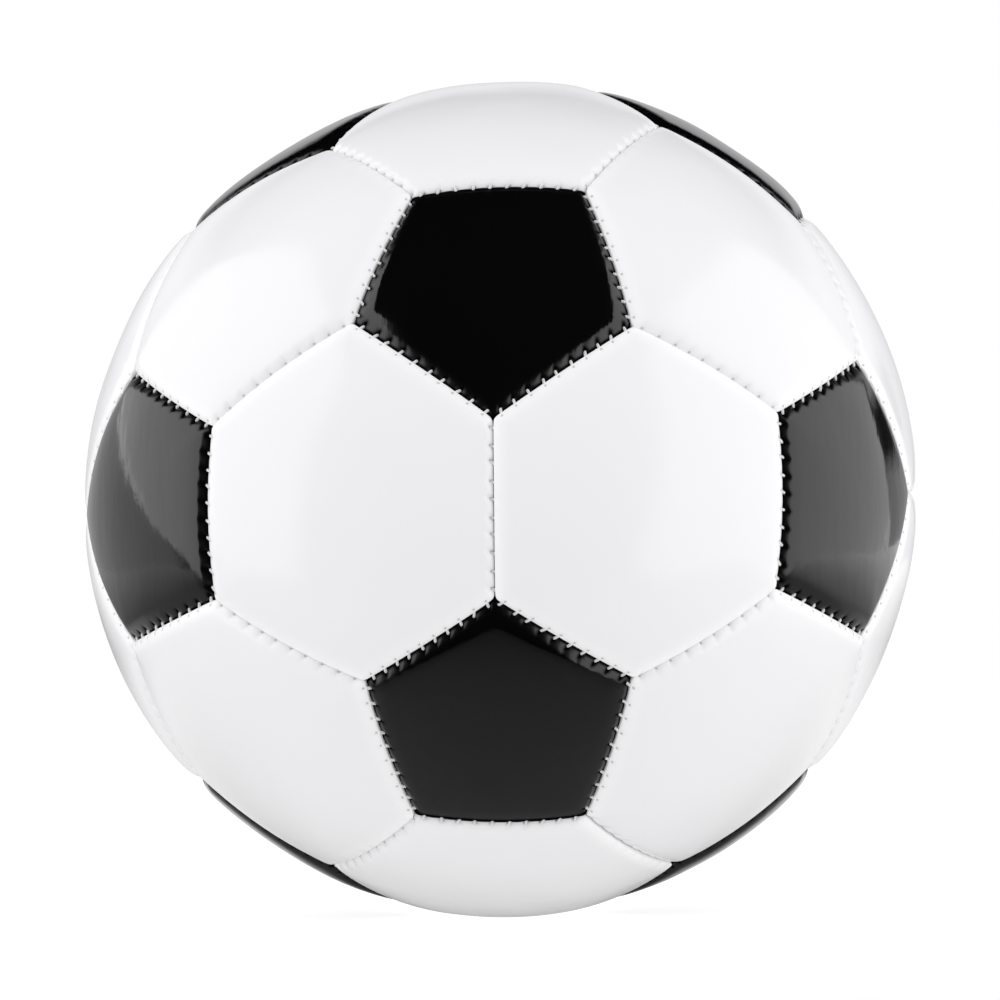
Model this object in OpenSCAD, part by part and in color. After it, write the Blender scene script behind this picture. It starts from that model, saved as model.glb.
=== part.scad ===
// Small stitched ball: 12 pentagon and 20 hexagon covers over foam, lining and a rubber bladder,
// with a push-in needle valve. Millimetres. Origin at the ball's centre, +Z up.

/* [Ball] */
// Diameter over the crowns of the panels
ball_d = 143; // [125:1:165]

/* [Panel layers] */
// Thickness of the glossy outer skin
skin_t = 0.8; // [0.6:0.1:1.1]
// Thickness of the foam behind the skin
foam_t = 1.8; // [1.2:0.1:2.6]
// Thickness of the woven lining behind the foam
lining_t = 0.5; // [0.3:0.1:0.8]
// Thickness of the glue between two layers
glue_t = 0.1; // [0.05:0.05:0.2]

/* [Seams] */
// Open gap between two panels at a seam
seam_gap = 0.5; // [0.3:0.1:0.8]
// Radius of the skin where it turns down into a seam
edge_roll_r = 2; // [1.6:0.1:2.6]
// Depth of the upright turned-in edge below the roll
seam_allowance = 1.85; // [1.5:0.05:2.5]
// Stitches in one seam
stitches = 10; // [6:1:11]
// Thickness of the sewing thread
thread_d = 0.6; // [0.4:0.1:0.8]
// Distance of the first stitch from the panel's corner
corner_margin = 2.4; // [2:0.1:3.5]

/* [Bladder] */
// Wall of the rubber bladder
bladder_wall = 0.9; // [0.6:0.1:1.5]

/* [Valve] */
// Outside diameter of the valve's round mouth
mouth_d = 8; // [7:0.5:10]
// How far the mouth lies below the panel's crown
mouth_recess = 0.5; // [0.2:0.1:1]
// Diameter of the bonded disc inside the bladder
flange_d = 22; // [18:1:28]
// Thickness of the bonded disc
flange_t = 1.5; // [1:0.1:2.5]
// Overall length of the valve housing
housing_l = 13; // [11:0.5:16]
// Diameter of the plug's head
head_d = 5.6; // [5.2:0.1:6]
// Thickness of the plug's head
head_t = 1.2; // [1:0.1:1.6]
// Diameter of the plug's shank
shank_d = 4.4; // [4:0.1:4.8]
// Diameter of the needle way
needle_bore_d = 2.3; // [2:0.1:2.5]
// Depth of the needle way
needle_bore_l = 9; // [7:0.5:10]
// Length of the plug's closed lips below the housing
lip_l = 2; // [1.5:0.1:3]
// Width of the slit between the lips
slit_w = 0.3; // [0.2:0.05:0.4]
// Diameter of the cloth patch round the valve
patch_d = 30; // [26:1:36]
// Thickness of the cloth patch
patch_t = 0.4; // [0.3:0.1:0.6]

/* [Hidden] */

pent_count = 12;
hex_count = 20;
pent_sides = 5;
hex_sides = 6;

function two_digit(i) = i < 9 ? str("0", i + 1) : str(i + 1);
black_names = [for (i = [0 : pent_count - 1]) str("black_panel_", two_digit(i))];
white_names = [for (i = [0 : hex_count - 1]) str("white_panel_", two_digit(i))];

// Smoothness of the big spheres, of the rolled edges and of small round parts
fine_fn = 160;
roll_fn = 96;
small_fn = 64;
thread_fn = 16;

// The solid with 12 pentagons and 20 hexagons, worked out for an edge of one
golden = (1 + sqrt(5)) / 2;
unit_corner_r = sqrt(58 + 18 * sqrt(5)) / 4;
unit_mid_r = sqrt(pow(unit_corner_r, 2) - 1 / 4);
edge_half = asin(1 / (2 * unit_corner_r));
pent_tilt = asin(1 / (2 * tan(180 / pent_sides) * unit_mid_r));
hex_tilt = asin(1 / (2 * tan(180 / hex_sides) * unit_mid_r));

signs = [1, -1];
pent_dirs = concat(
    [for (s = signs, t = signs) [0, -s * golden, t]],
    [for (s = signs, t = signs) [s, 0, t * golden]],
    [for (s = signs, t = signs) [s * golden, t, 0]]
);
hex_dirs = concat(
    [for (x = signs, y = signs, z = signs) [-x, y, z]],
    [for (s = signs, t = signs) [s / golden, t * golden, 0]],
    [for (s = signs, t = signs) [0, s / golden, t * golden]],
    [for (s = signs, t = signs) [s * golden, 0, t / golden]]
);
valve_hex = 0;

function unit(v) = v / norm(v);
function across(v, axis) = unit(v - (v * axis) * axis);
function nearest(axis, list) = let (d = [for (v = list) unit(v) * axis]) list[search(max(d), d)[0]];
function frame(x, y, z) = [for (i = [0 : 2]) [x[i], y[i], z[i], 0]];
function panel_frame(axis, toward) =
    let (z = unit(axis), x = across(toward, z)) concat(frame(x, cross(z, x), z), [[0, 0, 0, 1]]);
function pent_frame(i) = panel_frame(pent_dirs[i], nearest(unit(pent_dirs[i]), hex_dirs));
function hex_frame(i) = panel_frame(hex_dirs[i], nearest(unit(hex_dirs[i]), pent_dirs));

// Pairs of pentagons that share a hexagon-to-hexagon seam between them
near_cos = 1 / sqrt(5) - 0.01;
pent_pairs = [
    for (i = [0 : pent_count - 1], j = [0 : pent_count - 1])
        if (j > i && unit(pent_dirs[i]) * unit(pent_dirs[j]) > near_cos) [i, j]
];
function seam_frame(pair) =
    let (
        p = unit(pent_dirs[pair[0]]),
        q = unit(pent_dirs[pair[1]]),
        x = unit(p + q),
        y = unit(q - p)
    )
    concat(frame(x, y, cross(x, y)), [[0, 0, 0, 1]]);

// Layers, measured inward from the crown
ball_r = ball_d / 2;
half_gap = seam_gap / 2;
stack_t = skin_t + foam_t + lining_t + 2 * glue_t;

// The roll's centre sits a little nearer both faces than its radius, so the faces meet at a clear angle
roll_set = 0.97;
roll_in = roll_set * edge_roll_r;
roll_depth = edge_roll_r * (roll_set - sqrt(1 - roll_set * roll_set));
cover_depth = max(stack_t, roll_depth + seam_allowance);
flange_end_r = ball_r - cover_depth;
ring_half = edge_half + 4;
reach = ball_d;
over = edge_roll_r + seam_gap;

foam_r = ball_r - skin_t - glue_t;
lining_r = foam_r - foam_t - glue_t;
thread_room = 0.3;
foam_inset = max(half_gap + roll_in, half_gap + skin_t + thread_d + thread_room);
lining_inset = half_gap + skin_t + thread_d + thread_room;

// Thread: rungs across the seam joined by a run along the back of each turned-in edge
stitch_depth = roll_depth + thread_d;
stitch_r = ball_r - stitch_depth;
stitch_half = edge_half - asin(corner_margin / stitch_r);
stitch_step = 2 * stitch_half / (stitches - 1);
run_tail = asin(thread_d / stitch_r);
run_h = half_gap + skin_t;

// Bladder and valve
patch_r = ball_r - cover_depth - glue_t;
bladder_r = patch_r - patch_t - glue_t;
bladder_in_r = bladder_r - bladder_wall;
fit_gap = 0.05;
hole_gap = 0.2;
bond_gap = 0.1;
mouth_z = ball_r - mouth_recess;
housing_end_z = mouth_z - housing_l;
head_gap = 0.2;
head_z = mouth_z - head_gap;
seat_z = head_z - head_t - fit_gap;
plug_end_z = housing_end_z - lip_l;
bore_end_z = head_z - needle_bore_l;
slit_l = needle_bore_d - 2 * bond_gap;
bore_d = shank_d + 2 * fit_gap;
counterbore_d = head_d + 2 * bond_gap;
hole_d = mouth_d + 2 * hole_gap;
lip_w = slit_w + 1.2;

// Puts a child at one edge of a panel: Z along the seam plane's inward normal, X to the edge's middle
module at_edge(k, sides, tilt) {
    rotate([0, 0, k * 360 / sides]) rotate([0, tilt - 90, 0]) children();
}

// A sphere turned so that its poles lie well away from the panel
module shell_ball(r) {
    rotate([90, 0, 0]) sphere(r = r, $fn = fine_fn);
}

// Everything on the far side of a seam plane, moved in by an inset
module beyond_edge(inset) {
    translate([-reach, -reach, inset - 2 * reach]) cube(2 * reach);
}

// The corner that the rolled edge takes off, as a ring round the seam's circle
module roll_cutter(offset_in) {
    rotate_extrude(angle = 2 * ring_half, start = -ring_half, $fn = fine_fn)
        difference() {
            translate([ball_r - roll_in, -over]) square([roll_in + over, over + half_gap + roll_in]);
            translate([ball_r - roll_in, half_gap + roll_in])
                circle(r = edge_roll_r - offset_in, $fn = roll_fn);
        }
}

// A solid wedge of the ball under one panel, with a rolled rim, shrunk by an offset on every side
module pillow(sides, tilt, offset_in) {
    difference() {
        shell_ball(ball_r - offset_in);
        for (k = [0 : sides - 1]) at_edge(k, sides, tilt) beyond_edge(half_gap + offset_in);
        for (k = [0 : sides - 1]) at_edge(k, sides, tilt) roll_cutter(offset_in);
    }
}

// The skin of one panel: a shallow dished tray, open toward the bladder
module cover(sides, tilt) {
    difference() {
        pillow(sides, tilt, 0);
        pillow(sides, tilt, skin_t);
        shell_ball(flange_end_r);
    }
}

// A curved layer cut to the panel's outline
module layer(sides, tilt, outer_r, t, inset) {
    difference() {
        shell_ball(outer_r);
        shell_ball(outer_r - t);
        for (k = [0 : sides - 1]) at_edge(k, sides, tilt) beyond_edge(inset);
    }
}

module valve_hole() {
    cylinder(h = reach, d = hole_d, $fn = small_fn);
}

// One seam's lock stitch: two runs joined by a rung at each stitch
module stitch_ladder() {
    for (side = [0, 1]) mirror([0, 0, side])
        rotate_extrude(
            angle = 2 * (stitch_half + run_tail), start = -stitch_half - run_tail, $fn = fine_fn
        )
            translate([stitch_r - thread_d / 2, run_h]) square(thread_d);
    for (i = [0 : stitches - 1])
        rotate([0, 0, i * stitch_step - stitch_half])
            translate([stitch_r, 0, 0])
                cylinder(h = 2 * run_h + thread_d, d = thread_d - fit_gap, center = true, $fn = thread_fn);
}

module black_panel(i) {
    color([0.06, 0.06, 0.07]) multmatrix(pent_frame(i)) cover(pent_sides, pent_tilt);
}

module white_panel(i) {
    color([0.93, 0.93, 0.94]) multmatrix(hex_frame(i)) difference() {
        cover(hex_sides, hex_tilt);
        if (i == valve_hex) valve_hole();
    }
}

module pentagon_foam_pads() {
    color([0.85, 0.82, 0.7])
        for (i = [0 : pent_count - 1]) multmatrix(pent_frame(i))
            layer(pent_sides, pent_tilt, foam_r, foam_t, foam_inset);
}

module hexagon_foam_pads() {
    color([0.85, 0.82, 0.7])
        for (i = [0 : hex_count - 1]) multmatrix(hex_frame(i)) difference() {
            layer(hex_sides, hex_tilt, foam_r, foam_t, foam_inset);
            if (i == valve_hex) valve_hole();
        }
}

module pentagon_linings() {
    color([0.75, 0.74, 0.7])
        for (i = [0 : pent_count - 1]) multmatrix(pent_frame(i))
            layer(pent_sides, pent_tilt, lining_r, lining_t, lining_inset);
}

module hexagon_linings() {
    color([0.75, 0.74, 0.7])
        for (i = [0 : hex_count - 1]) multmatrix(hex_frame(i)) difference() {
            layer(hex_sides, hex_tilt, lining_r, lining_t, lining_inset);
            if (i == valve_hex) valve_hole();
        }
}

module pentagon_seam_threads() {
    color([0.96, 0.95, 0.92])
        for (i = [0 : pent_count - 1], k = [0 : pent_sides - 1]) multmatrix(pent_frame(i))
            at_edge(k, pent_sides, pent_tilt) stitch_ladder();
}

module hexagon_seam_threads() {
    color([0.96, 0.95, 0.92])
        for (pair = pent_pairs) multmatrix(seam_frame(pair)) stitch_ladder();
}

// Air-tight rubber ball with an opening for the valve's neck
module bladder() {
    color([0.16, 0.16, 0.17]) multmatrix(hex_frame(valve_hex)) difference() {
        shell_ball(bladder_r);
        shell_ball(bladder_in_r);
        cylinder(h = reach, d = mouth_d + 2 * bond_gap, $fn = small_fn);
    }
}

// Cloth ring between the lining and the bladder round the valve
module valve_patch() {
    color([0.8, 0.78, 0.72]) multmatrix(hex_frame(valve_hex)) difference() {
        intersection() {
            shell_ball(patch_r);
            cylinder(h = reach, d = patch_d, $fn = small_fn);
        }
        shell_ball(patch_r - patch_t);
        valve_hole();
    }
}

// Moulded rubber: a neck through the panel, a disc bonded inside the bladder, a bore for the plug
module valve_housing() {
    color([0.2, 0.2, 0.2]) multmatrix(hex_frame(valve_hex)) difference() {
        union() {
            translate([0, 0, housing_end_z]) cylinder(h = housing_l, d = mouth_d, $fn = small_fn);
            difference() {
                intersection() {
                    shell_ball(bladder_in_r - bond_gap);
                    cylinder(h = reach, d = flange_d, $fn = small_fn);
                }
                shell_ball(bladder_in_r - bond_gap - flange_t);
            }
        }
        cylinder(h = reach, d = bore_d, $fn = small_fn);
        translate([0, 0, seat_z]) cylinder(h = reach, d = counterbore_d, $fn = small_fn);
    }
}

// Push-in rubber plug: a head, a shank with the needle way, and lips that close behind the needle
module valve_plug() {
    color([0.1, 0.1, 0.1]) multmatrix(hex_frame(valve_hex)) difference() {
        union() {
            translate([0, 0, head_z - head_t]) cylinder(h = head_t, d = head_d, $fn = small_fn);
            translate([0, 0, plug_end_z])
                cylinder(h = head_z - head_t / 2 - plug_end_z, d = shank_d, $fn = small_fn);
        }
        translate([0, 0, bore_end_z])
            cylinder(h = reach, d = needle_bore_d, $fn = small_fn);
        translate([-slit_w / 2, -slit_l / 2, plug_end_z - lip_l])
            cube([slit_w, slit_l, bore_end_z + fit_gap - plug_end_z + lip_l]);
        for (side = signs)
            translate([side > 0 ? lip_w / 2 : -lip_w / 2 - shank_d, -shank_d, plug_end_z - lip_l])
                cube([shank_d, 2 * shank_d, 2 * lip_l - fit_gap]);
    }
}

for (i = [0 : pent_count - 1]) black_panel(i);
for (i = [0 : hex_count - 1]) white_panel(i);
pentagon_foam_pads();
hexagon_foam_pads();
pentagon_linings();
hexagon_linings();
pentagon_seam_threads();
hexagon_seam_threads();
bladder();
valve_patch();
valve_housing();
valve_plug();
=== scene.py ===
# %% [markdown]
# A mini soccer ball, dressed for a studio picture
#
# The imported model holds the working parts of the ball: panel covers, foam, linings, threads, bladder
# and valve, each in its place. This lesson gives them their looks. Every shape is worked out with
# numpy as whole arrays and handed to Blender as a finished mesh, so each step can be read as a formula.
# Lengths are in millimetres until a mesh is made.

# %% Load the frame
import math

import bpy
import numpy as np
from mathutils import Matrix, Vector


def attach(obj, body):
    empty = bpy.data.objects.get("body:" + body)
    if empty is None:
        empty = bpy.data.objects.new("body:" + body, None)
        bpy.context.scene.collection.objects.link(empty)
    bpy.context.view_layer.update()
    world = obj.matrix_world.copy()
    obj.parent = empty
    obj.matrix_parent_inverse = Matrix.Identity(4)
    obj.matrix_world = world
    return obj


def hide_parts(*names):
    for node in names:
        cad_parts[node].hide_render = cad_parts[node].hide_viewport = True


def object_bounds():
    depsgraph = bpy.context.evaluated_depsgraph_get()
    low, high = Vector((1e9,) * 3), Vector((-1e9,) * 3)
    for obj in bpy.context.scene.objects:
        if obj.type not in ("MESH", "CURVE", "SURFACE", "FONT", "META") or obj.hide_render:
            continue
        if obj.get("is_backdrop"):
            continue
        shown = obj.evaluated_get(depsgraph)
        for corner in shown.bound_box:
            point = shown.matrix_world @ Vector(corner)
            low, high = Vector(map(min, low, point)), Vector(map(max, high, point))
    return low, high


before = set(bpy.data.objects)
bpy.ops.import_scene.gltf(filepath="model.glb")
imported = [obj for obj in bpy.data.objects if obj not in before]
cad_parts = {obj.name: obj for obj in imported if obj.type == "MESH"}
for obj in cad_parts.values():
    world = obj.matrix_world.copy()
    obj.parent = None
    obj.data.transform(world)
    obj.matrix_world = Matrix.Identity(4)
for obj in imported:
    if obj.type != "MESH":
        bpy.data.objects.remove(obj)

cad_low, cad_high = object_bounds()
MM = 0.001


def node_points(name):
    """The corner points of a CAD node's mesh, in millimetres."""
    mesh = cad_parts[name].data
    flat = np.empty(len(mesh.vertices) * 3, np.float32)
    mesh.vertices.foreach_get("co", flat)
    return flat.reshape(-1, 3).astype(float) / MM


def node_radii(name):
    """Least and greatest distance of a node's points from the ball's centre, in millimetres."""
    reach = np.linalg.norm(node_points(name), axis=1)
    return reach.min(), reach.max()


flange_end_r, ball_r = node_radii("white_panel_02")
print(f"crown radius {ball_r:.2f} mm, turned edges reach in to {flange_end_r:.2f} mm")

# %% [markdown]
# The camera
#
# The camera comes first, because the picture also says where the sewn corners lie. The outline of a ball
# is a circle, so its radius in pixels gives the focal length once a distance is chosen, and the places of
# the seams give the small turn of the ball. A long lens from about a metre matches how little of the far
# panels can be seen. Matching by eye over a background image would come close, but numbers are exact.

# %% Camera
# The picture's width, and the radius and middle of the ball's outline in it
IMAGE_PX = 1000.0
OUTLINE_PX = 416.2
CENTRE_PX = np.array([501.1, 498.9])
CAMERA_D = 1085.0
SENSOR = 36.0
TURN_DEG = np.array([0.70, -0.91, -0.82])
CLIP_NEAR = 0.05
CLIP_FAR = 50.0


def unit(vectors):
    """Vectors scaled to length one."""
    return vectors / np.linalg.norm(vectors, axis=-1, keepdims=True)


def in_scene(name, data):
    """A new object with this data, linked into the scene."""
    made = bpy.data.objects.new(name, data)
    bpy.context.scene.collection.objects.link(made)
    return made


def turned(vector_deg):
    """Rotation matrix for a turn about an axis, both given by one vector in degrees.

    It is the unit matrix, plus the sine times the axis's cross matrix, plus one less the cosine times
    that matrix squared.
    """
    angle = math.radians(np.linalg.norm(vector_deg))
    x, y, z = unit(vector_deg)
    cross = np.array([[0, -z, y], [z, 0, -x], [-y, x, 0]])
    return np.eye(3) + math.sin(angle) * cross + (1 - math.cos(angle)) * cross @ cross


to_photo = turned(TURN_DEG)
focal_px = OUTLINE_PX * math.sqrt(CAMERA_D**2 - ball_r**2) / ball_r
camera_data = bpy.data.cameras.new("camera")
camera = in_scene("camera", camera_data)
camera_data.sensor_width = SENSOR
camera_data.lens = SENSOR * focal_px / IMAGE_PX
camera_data.shift_x = (IMAGE_PX / 2 - CENTRE_PX[0]) / IMAGE_PX
camera_data.shift_y = (CENTRE_PX[1] - IMAGE_PX / 2) / IMAGE_PX
camera_data.clip_start = CLIP_NEAR
camera_data.clip_end = CLIP_FAR
stand = np.eye(4)
stand[:3, :3] = np.column_stack([to_photo[0], to_photo[2], -to_photo[1]])
stand[:3, 3] = -to_photo[1] * CAMERA_D * MM
camera.matrix_world = Matrix(stand.tolist())
bpy.context.scene.camera = camera
bpy.context.scene.view_settings.view_transform = "Standard"
print(f"lens {camera_data.lens:.0f} mm at {CAMERA_D:.0f} mm")

# %% [markdown]
# The pattern of panels
#
# The classic ball has 12 pentagons and 20 hexagons. Its 60 corners lie a third of the way along the lines
# that join neighbouring pentagons, so the whole pattern follows from the 12 directions of the pentagons.
# Drawing it by hand in edit mode would work too, but a formula gives every panel, seam and stitch a
# number, and two panels that share a seam then agree about each stitch in it.

# %% Ideal corners
NEIGHBOUR_COSINE = 0.4
# The pentagons face the 12 corners of an icosahedron, the hexagons the 20 corners of a dodecahedron
golden = (1 + math.sqrt(5)) / 2
signs = np.array([[s, t] for s in (1, -1) for t in (1, -1)], float)
pair = np.column_stack([np.zeros(len(signs)), signs[:, 0] * golden, signs[:, 1]])
pent_axes = unit(np.concatenate([np.roll(pair, shift, axis=1) for shift in (0, 2, 1)]))
neighbours = (pent_axes @ pent_axes.T > NEIGHBOUR_COSINE) & ~np.eye(len(pent_axes), dtype=bool)
first, second = np.nonzero(neighbours)
corners = unit(2 * pent_axes[first] + pent_axes[second])

cube = np.array([[x, y, z] for x in (1, -1) for y in (1, -1) for z in (1, -1)], float)
tall = np.column_stack([signs[:, 0] / golden, signs[:, 1] * golden, np.zeros(len(signs))])
hex_axes = unit(np.concatenate([cube] + [np.roll(tall, shift, axis=1) for shift in (0, 1, 2)]))
print(f"{len(pent_axes)} pentagons, {len(hex_axes)} hexagons, {len(corners)} corners")

# %% [markdown]
# Sewn corners
#
# No sewn ball is exact. The corners that the picture shows are put where they are seen: a pixel becomes a
# ray from the camera, and the ray meets the sphere that the seams lie on. The black corner shows a little
# inside the true one, because the skin rounds over, so each is moved out by that much. The corners on the
# far side get a seeded wander of a like size. Corners dragged by eye would fit one view, but rays keep
# the ball round from every side.

# %% Corners where they are seen
SEEN_CORNERS = {
    "top_pentagon": ((413, 196), (584, 190), (631, 324), (493, 415), (354, 321)),
    "bottom_pentagon": ((495, 602), (631, 680), (585, 817), (416, 816), (366, 683)),
    "left_pentagon": ((209, 428), (212, 598), (132, 373), (132, 641), (89, 514)),
    "right_pentagon": ((781, 414), (779, 587), (860, 361), (865, 635), (909, 492)),
    "edge_pentagons": ((328, 148), (661, 128), (330, 866), (675, 865)),
}
# How deep the seams lie, how far the skin hides a corner, and how far sewing strays
SEAM_SINK = 0.7
CORNER_HIDDEN = 0.45
CORNER_WANDER = 0.5
SEED = 32
seam_r = ball_r - SEAM_SINK
rng = np.random.default_rng(SEED)


def seen_direction(pixels):
    """Directions from the ball's centre to where the pixels' rays first meet the sphere of the seams."""
    across = (pixels - CENTRE_PX) * np.array([1, -1])
    ray = unit(np.column_stack([across[:, 0], np.full(len(pixels), focal_px), across[:, 1]]))
    eye = np.array([0, -CAMERA_D, 0])
    half = ray @ eye
    way = -half - np.sqrt(np.maximum(half**2 - CAMERA_D**2 + seam_r**2, 0))
    return unit((eye + way[:, None] * ray) @ to_photo)


corners = unit(corners + rng.normal(0, CORNER_WANDER / ball_r, corners.shape))
seen = seen_direction(np.concatenate([np.array(group, float) for group in SEEN_CORNERS.values()]))
matched = np.argmax(seen @ corners.T, axis=1)
own = pent_axes[first[matched]]
outward = unit(seen - own * np.sum(seen * own, axis=1, keepdims=True))
moved = ball_r * np.linalg.norm(corners[matched] - seen, axis=1)
corners[matched] = unit(seen + outward * CORNER_HIDDEN / ball_r)
placed = len(set(matched.tolist()))
print(f"{placed} corners placed from the picture, moved {moved.mean():.2f} mm on average")

# %% [markdown]
# Panels and seams
#
# On the bench each panel is cut from sheet and sewn to its neighbours edge to edge. Here every CAD panel
# finds its axis in the pattern, and the corners nearest to that axis, sorted round it, are its rim. Seams
# could be read from the edges of a mesh, but as pairs of corners they are 90 short arcs, each with a middle
# and two directions, along it and across it, and that is all that a stitch needs.

# %% Panels and seams
PENTAGON = 5
HEXAGON = 6


def corner_loop(axis, sides):
    """Numbers of the corners nearest to the panel's axis, sorted by their angle round it."""
    loop = np.argsort(-(corners @ axis))[:sides]
    east = unit(corners[loop[0]] - axis * (corners[loop[0]] @ axis))
    turn = np.arctan2(corners[loop] @ np.cross(axis, east), corners[loop] @ east)
    return loop[np.argsort(turn)]


def own_axis(name, axes):
    """The pattern's axis that a CAD panel lies on."""
    return axes[np.argmax(axes @ node_points(name).mean(axis=0))]


def edge_pairs(loop):
    """Pairs of corner numbers along a panel's rim, the lower number first."""
    return np.sort(np.column_stack([loop, np.roll(loop, -1)]), axis=1)


panels = {}
for name in sorted(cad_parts):
    if name.startswith("black_panel"):
        panels[name] = (own_axis(name, pent_axes), PENTAGON)
    if name.startswith("white_panel"):
        panels[name] = (own_axis(name, hex_axes), HEXAGON)
loops = {name: corner_loop(axis, sides) for name, (axis, sides) in panels.items()}
seam_pairs = np.unique(np.concatenate([edge_pairs(loop) for loop in loops.values()]), axis=0)
seam_number = {tuple(ends): number for number, ends in enumerate(seam_pairs.tolist())}
seam_from, seam_to = corners[seam_pairs[:, 0]], corners[seam_pairs[:, 1]]
seam_mid = unit(seam_from + seam_to)
seam_run = unit(seam_to - seam_from)
seam_side = np.cross(seam_mid, seam_run)
seam_len = ball_r * np.arccos(np.sum(seam_from * seam_to, axis=1))


def own_seams(name):
    """Numbers of the panel's seams, and on which side of each the panel lies."""
    seams = np.array([seam_number[tuple(ends)] for ends in edge_pairs(loops[name]).tolist()])
    return seams, np.sign(seam_side[seams] @ panels[name][0])


black_side = np.zeros(len(seam_pairs))
for name, (axis, sides) in panels.items():
    if sides == PENTAGON:
        seams, inward = own_seams(name)
        black_side[seams] = inward
pent_seam = black_side != 0
print(f"{len(seam_pairs)} seams, {pent_seam.sum()} of them beside a black panel")

# %% [markdown]
# Stitches
#
# A sewing machine sets about ten stitches in each seam. Each gets its own place, pull and slant, and both
# panels beside the seam read the same numbers. One panel of a seam stands a little prouder than the other:
# the white one beside black, but for two seams where the black one does, and either one between two whites.
# Stitches set by hand would take days, and evenly set ones look drawn, so each strays by a seeded amount.

# %% Stitches
STITCHES = 10
END_MARGIN = 1.6
STITCH_WANDER = 0.13
PULL_SPREAD = 0.16
SLANT = 0.2
SLANT_SPREAD = 0.1
LEAN_BLACK = 0.05
LEAN_WHITE = 0.3
LEAN_PROUD_BLACK = 0.4
PROUD_BLACK_SEAMS = {"over_top_pentagon": (499, 191), "under_bottom_pentagon": (501, 817)}

even = np.linspace(-0.5, 0.5, STITCHES)
stitch_at = even * (seam_len[:, None] - 2 * END_MARGIN)
stitch_at = stitch_at + rng.normal(0, STITCH_WANDER, stitch_at.shape)
stitch_pull = 1 + rng.normal(0, PULL_SPREAD, stitch_at.shape)
stitch_slant = SLANT + rng.normal(0, SLANT_SPREAD, stitch_at.shape)
low_side = np.where(pent_seam, black_side, rng.choice([-1.0, 1.0], len(seam_pairs)))
proud_black = seen_direction(np.array(list(PROUD_BLACK_SEAMS.values()), float))
proud_black = np.argmax(proud_black @ seam_mid.T, axis=1)
low_side[proud_black] *= -1
seam_lean = -low_side * np.where(pent_seam, LEAN_BLACK, LEAN_WHITE)
seam_lean[proud_black] = -low_side[proud_black] * LEAN_PROUD_BLACK
print(f"{stitch_at.size} stitches, a seam is {seam_len.mean():.1f} mm long")

# %% [markdown]
# The height of a panel
#
# A panel is a soft skin over foam. It swells between its seams, rolls over into them, and each stitch
# pulls a groove into its edge, so the skin stands up in small lobes between the stitches. A plain bevel
# can't show that. Here the height above the ball's centre is a formula of two things: the distance to the
# seam, and the place along it. The whole ball is a little out of round too, as the outline shows.

# %% Slow unevenness
WAVES = 28
WAVE_LENGTHS = (9, 34)
WAVE_RISE = 0.0009
WAVE_SHARE = (0.4, 1)
wave_dir = unit(rng.normal(size=(WAVES, 3)))
wave_len = rng.uniform(*WAVE_LENGTHS, WAVES)
wave_phase = rng.uniform(0, 2 * math.pi, WAVES)
wave_high = WAVE_RISE * wave_len * rng.uniform(*WAVE_SHARE, WAVES)

# For each: the angle in the picture, clockwise from the right, the rise, and the spread in degrees
OUT_OF_ROUND = (
    (240, -1.0, 14), (207, -0.5, 13), (292, 0.8, 20), (313, 0.6, 9), (281, 0.25, 8),
    (156, 0.5, 18), (176, 0.2, 8), (88, 0.5, 16), (23, -0.7, 14), (125, -0.5, 12),
)


def out_of_round(points):
    """Slow dents and swells of the ball: a bell curve of the angle round each place, in millimetres."""
    rise = np.zeros(points.shape[:-1])
    for clock, high, spread_deg in OUT_OF_ROUND:
        turn = math.radians(clock)
        toward = np.array([math.cos(turn), 0, -math.sin(turn)]) @ to_photo
        away = np.degrees(np.arccos(np.clip(points @ toward, -1, 1)))
        rise += high * np.exp(-((away / spread_deg) ** 2))
    return rise


def slow_waves(points):
    """Gentle unevenness of an inflated skin: a sum of sine waves in fixed directions, in millimetres."""
    phase = 2 * math.pi * ball_r / wave_len * (points @ wave_dir.T) + wave_phase
    return np.sin(phase) @ wave_high


print(f"{WAVES} slow waves of up to {wave_high.max():.3f} mm, {len(OUT_OF_ROUND)} dents and swells")

# %% Height of the skin
# Swell of the panel, its rolled edge, the stitches' grooves and pits, and how far in each is felt
PILLOW = 0.7
PILLOW_REACH = 3.4
ROLL_WHITE = {"wide": 2.1, "deep": 0.9, "cut": 0.9}
ROLL_BLACK = {"wide": 3.6, "deep": 1.75, "cut": 0.85}
GROOVE = {"black": 0.42, "low": 0.75, "proud": 0.1}
GROOVE_SHARP = {"black": 2.2, "low": 3.0, "proud": 2.2}
GROOVE_REACH = 1.0
PIT = 0.12
PIT_R = 0.27
HOLE_OUT = 0.55
SLANT_END = 1.4
LEAN_REACH = 1.2
CALM_REACH = 3.0
PROUD_REACH = 1.6
CREASE_REACH = 1.7
CREASE_SHARP = 2.0
CREASE_FALL = 4


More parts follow.
